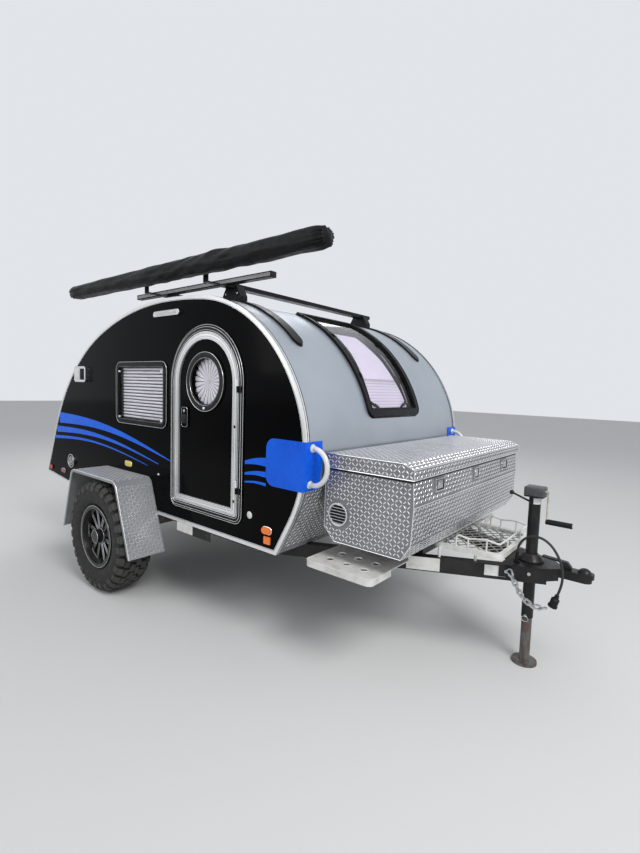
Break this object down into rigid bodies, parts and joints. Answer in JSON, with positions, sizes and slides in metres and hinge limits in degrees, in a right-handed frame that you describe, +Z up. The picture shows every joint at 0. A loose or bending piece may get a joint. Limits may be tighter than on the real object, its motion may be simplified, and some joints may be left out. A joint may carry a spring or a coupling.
{
  "type": "teardrop camping trailer",
  "caption": "Small teardrop camping trailer with arched side doors, a rear galley hatch, tongue toolbox and rack, roof awning and off-road wheels.",
  "frame": {"origin": "on the ground, on the centreline, half way along the trailer", "axes": "+X towards the coupler, +Y to the trailer's left, +Z up"},
  "size_m": [4.1345, 2.2338, 2.0915],
  "materials": {
    "chassis_black": "satin",
    "wall_gloss_black": "gloss",
    "silver_skin": "satin",
    "tread_plate": "brushed",
    "bright_trim": "satin",
    "floor_board": "matte",
    "galley_board": "satin",
    "tyre_rubber": "matte",
    "rim_black": "satin",
    "black_plastic": "matte",
    "dark_frame": "satin",
    "tinted_pane": "clear",
    "white_shade": "pleated",
    "awning_vinyl": "wrinkled",
    "blue_vinyl": "gloss",
    "white_enamel": "gloss",
    "amber_lens": "clear",
    "red_lens": "clear",
    "galvanised": "dull",
    "cable_rubber": "matte",
    "axle_steel": "dull",
    "bright_fittings": "polished"
  },
  "bodies": {
    "trailer": {"frame": "chassis_black", "axle": "axle_steel", "coupler": "chassis_black", "floor": "floor_board", "wall_right": "wall_gloss_black", "wall_left": "wall_gloss_black", "roof_skin": "silver_skin", "front_panel": "tread_plate", "galley_unit": "galley_board", "edge_trims": "bright_trim", "fenders": "tread_plate", "door_flanges": "dark_frame", "window_frames": "dark_frame", "window_panes": "tinted_pane", "window_blinds": "white_shade", "roof_strips": "dark_frame", "roof_rack": "dark_frame", "awning_bag": "awning_vinyl", "toolbox_body": "tread_plate", "toolbox_fittings": "bright_fittings", "step_plates": "tread_plate", "luggage_rack": "white_enamel", "jack_tube": "chassis_black", "jack_crank": "bright_fittings", "safety_chain": "galvanised", "cable": "cable_rubber", "cable_plug": "black_plastic", "cable_gland": "black_plastic", "corner_plates": "blue_vinyl", "grab_handles": "white_enamel", "amber_lamps": "amber_lens", "red_lamps": "red_lens", "wall_fittings": "bright_fittings", "hatch_hinge": "bright_trim"},
    "hatch": {"hatch_panel": "silver_skin", "hatch_latches": "black_plastic", "tail_lamps": "red_lens"},
    "lid": {"toolbox_lid": "tread_plate"},
    "leg": {"jack_leg": "chassis_black"},
    "door_right": {"door_leaf_right": "wall_gloss_black", "door_rim_right": "bright_trim", "porthole_ring_right": "black_plastic", "porthole_glass_right": "tinted_pane"},
    "wheel_right": {"tyre_right": "tyre_rubber", "rim_right": "rim_black"},
    "door_left": {"door_leaf_left": "wall_gloss_black", "door_rim_left": "bright_trim", "porthole_ring_left": "black_plastic", "porthole_glass_left": "tinted_pane"},
    "wheel_left": {"tyre_left": "tyre_rubber", "rim_left": "rim_black"}
  },
  "joints": [
    {"name": "wheel_right_spin", "type": "hinge", "parent": "trailer", "child": "wheel_right", "pos_m": [-0.648, -1, 0.365], "axis": [0, 1, 0], "continuous": true},
    {"name": "door_right_hinge", "type": "hinge", "parent": "trailer", "child": "door_right", "pos_m": [0.48, -0.868, 1.18], "axis": [0, 0, 1], "range_deg": [0, 100]},
    {"name": "wheel_left_spin", "type": "hinge", "parent": "trailer", "child": "wheel_left", "pos_m": [-0.648, 1, 0.365], "axis": [0, 1, 0], "continuous": true},
    {"name": "door_left_hinge", "type": "hinge", "parent": "trailer", "child": "door_left", "pos_m": [0.48, 0.868, 1.18], "axis": [0, 0, -1], "range_deg": [0, 100]},
    {"name": "hatch_hinge", "type": "hinge", "parent": "trailer", "child": "hatch", "pos_m": [-1.268, 0, 1.66132], "axis": [0, 1, 0], "range_deg": [0, 75]},
    {"name": "lid_hinge", "type": "hinge", "parent": "trailer", "child": "lid", "pos_m": [0.97698, 0, 1.073], "axis": [0, -1, 0], "range_deg": [0, 80]},
    {"name": "jack_slide", "type": "slide", "parent": "trailer", "child": "leg", "axis": [0, 0, 1], "range_m": [0, 0.21]}
  ]
}
